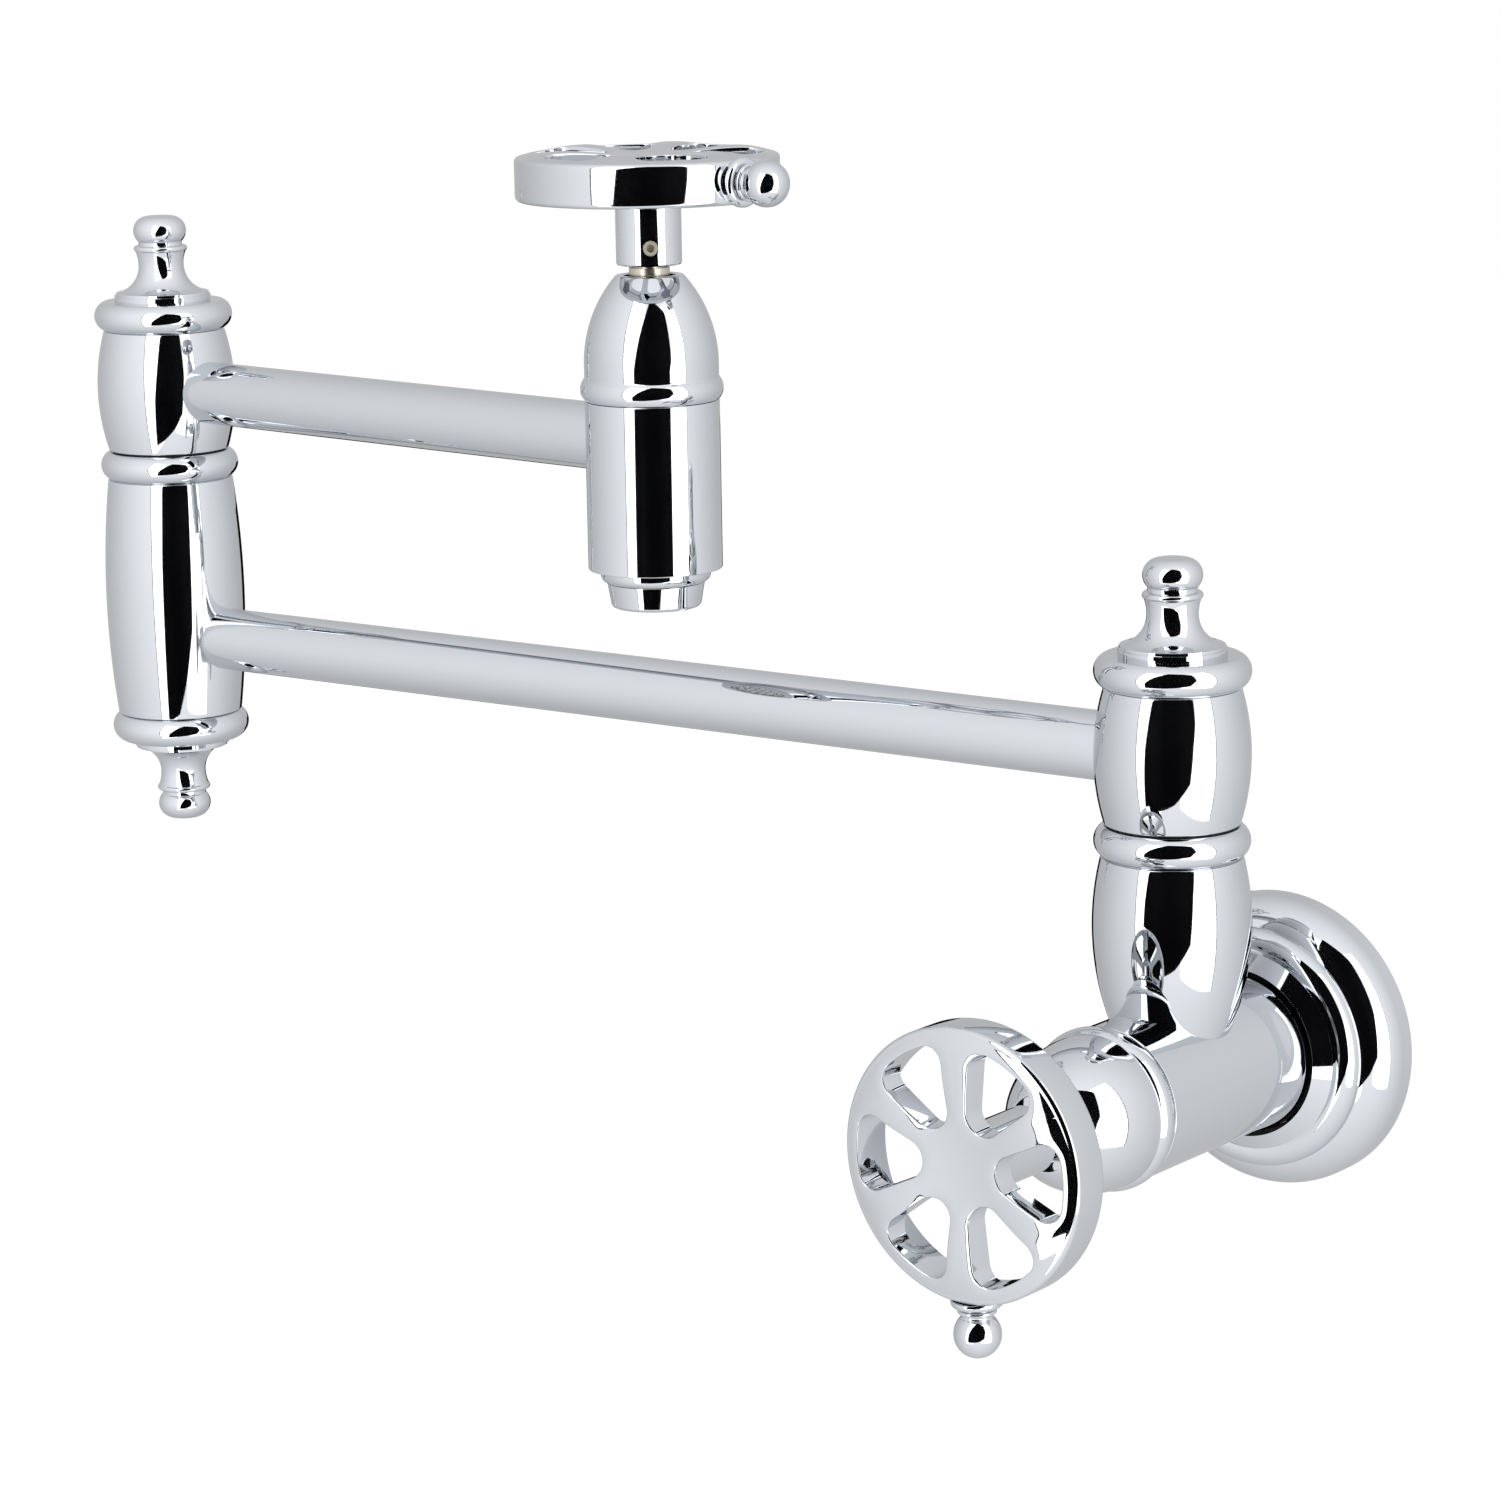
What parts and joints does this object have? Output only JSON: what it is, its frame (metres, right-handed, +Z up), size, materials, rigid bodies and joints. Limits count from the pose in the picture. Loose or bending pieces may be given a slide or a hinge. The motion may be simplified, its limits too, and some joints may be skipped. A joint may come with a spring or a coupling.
{
  "type": "pot filler",
  "caption": "Wall mounted pot filler tap with a folding double arm, two swivel joints, a stop valve with a spoked wheel at the wall and another above the spout.",
  "frame": {"origin": "on the wall plane, at the centre of the inlet's mouth, which sits 1 mm off the wall", "axes": "+Z up, +Y into the wall along the inlet, +X to the right seen from the room, along the longest extent"},
  "size_m": [0.4007, 0.1512, 0.2877],
  "materials": {
    "chrome": "polished chrome plate over brass",
    "brass": "bright nickel washed brass",
    "rubber": "black rubber and filled PTFE, matte",
    "ceramic": "white alumina ceramic, lapped",
    "screen": "pale grey acetal"
  },
  "bodies": {
    "wall_body": {"wall_flange": "chrome", "flange_o_ring": "rubber", "valve_body": "chrome", "swivel_post": "chrome", "front_bonnet": "chrome", "front_cartridge": "brass", "front_fixed_disc": "ceramic", "front_seat_seal": "rubber", "front_gland_nut": "brass", "base_spindle": "brass", "base_thrust_washer": "rubber", "base_spindle_nut": "brass"},
    "front_handle": {"front_wheel": "chrome", "front_wheel_knob": "chrome", "front_set_screw": "brass", "front_stem": "brass", "front_moving_disc": "ceramic"},
    "lower_arm": {"base_barrel": "chrome", "base_collar": "chrome", "base_finial": "chrome", "base_lower_seal": "rubber", "base_upper_seal": "rubber", "lower_tube": "chrome", "elbow_lower_barrel": "chrome", "elbow_bottom_collar": "chrome", "elbow_bottom_finial": "chrome", "elbow_spindle": "brass", "elbow_thrust_washer": "rubber", "elbow_spindle_nut": "brass"},
    "upper_arm": {"elbow_upper_barrel": "chrome", "elbow_top_collar": "chrome", "elbow_top_finial": "chrome", "elbow_lower_seal": "rubber", "elbow_upper_seal": "rubber", "upper_tube": "chrome", "spout_body": "chrome", "spout_bonnet": "chrome", "spout_cartridge": "brass", "spout_fixed_disc": "ceramic", "spout_seat_seal": "rubber", "spout_gland_nut": "brass", "aerator_housing": "chrome", "aerator_washer": "rubber", "aerator_screen": "screen"},
    "spout_handle": {"spout_wheel": "chrome", "spout_wheel_knob": "chrome", "spout_set_screw": "brass", "spout_stem": "brass", "spout_moving_disc": "ceramic"}
  },
  "joints": [
    {"name": "front_wheel_turn", "type": "hinge", "parent": "wall_body", "child": "front_handle", "pos_m": [0, -0.142, 0], "axis": [0, -1, 0], "range_deg": [0, 90]},
    {"name": "lower_arm_swing", "type": "hinge", "parent": "wall_body", "child": "lower_arm", "pos_m": [0, -0.0549, 0.0859], "axis": [0, 0, 1], "range_deg": [-3, 177]},
    {"name": "upper_arm_swing", "type": "hinge", "parent": "lower_arm", "child": "upper_arm", "pos_m": [-0.34103, -0.07277, 0.1591], "axis": [0, 0, 1], "continuous": true},
    {"name": "spout_wheel_turn", "type": "hinge", "parent": "upper_arm", "child": "spout_handle", "pos_m": [-0.14311, -0.08661, 0.229], "axis": [0, 0, 1], "range_deg": [0, 90]}
  ]
}
